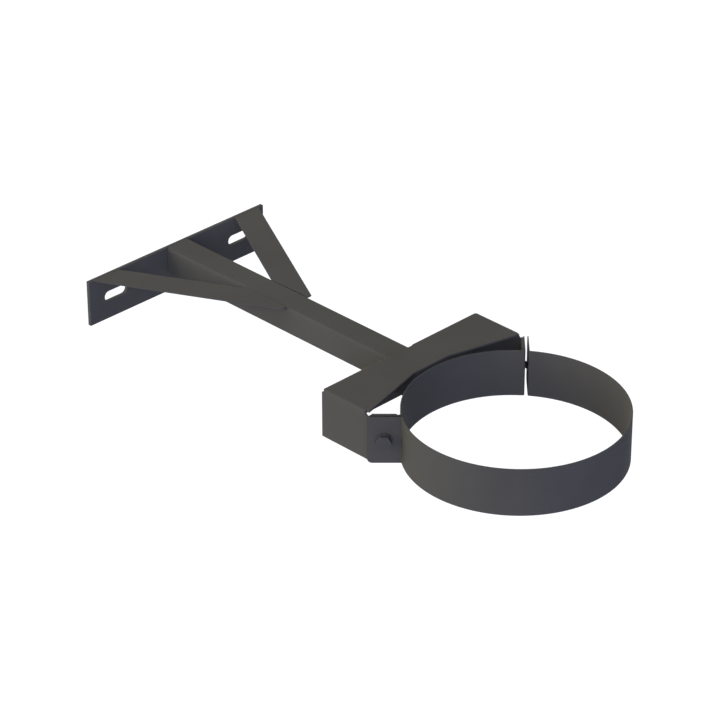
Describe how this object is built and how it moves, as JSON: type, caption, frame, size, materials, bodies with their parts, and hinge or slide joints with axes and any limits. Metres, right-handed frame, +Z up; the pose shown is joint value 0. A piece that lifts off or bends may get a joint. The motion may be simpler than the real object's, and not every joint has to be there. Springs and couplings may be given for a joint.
{
  "type": "flue pipe wall bracket",
  "caption": "Wall bracket that holds a vertical flue pipe clear of a wall: slotted plate, braced square beam, folded head and a split, bolted clamp ring.",
  "frame": {"origin": "centre of the wall plate's back face, which is the middle of its two slots", "axes": "+X out from the wall along the beam, +Y along the plate, +Z up along the flue"},
  "size_m": [0.5853, 0.24, 0.054],
  "materials": {
    "powder_coat": "satin",
    "coated_fastener": "satin"
  },
  "bodies": {
    "root": {"wall_plate": "powder_coat", "beam_tube": "powder_coat", "brace_left": "powder_coat", "brace_right": "powder_coat", "head_saddle": "powder_coat", "head_cradle": "powder_coat", "rear_strap": "powder_coat", "front_strap": "powder_coat", "bolt_left": "coated_fastener", "bolt_right": "coated_fastener", "washer_front_left": "coated_fastener", "washer_front_right": "coated_fastener", "washer_rear_left": "coated_fastener", "washer_rear_right": "coated_fastener", "nut_left": "coated_fastener", "nut_right": "coated_fastener"}
  },
  "joints": []
}
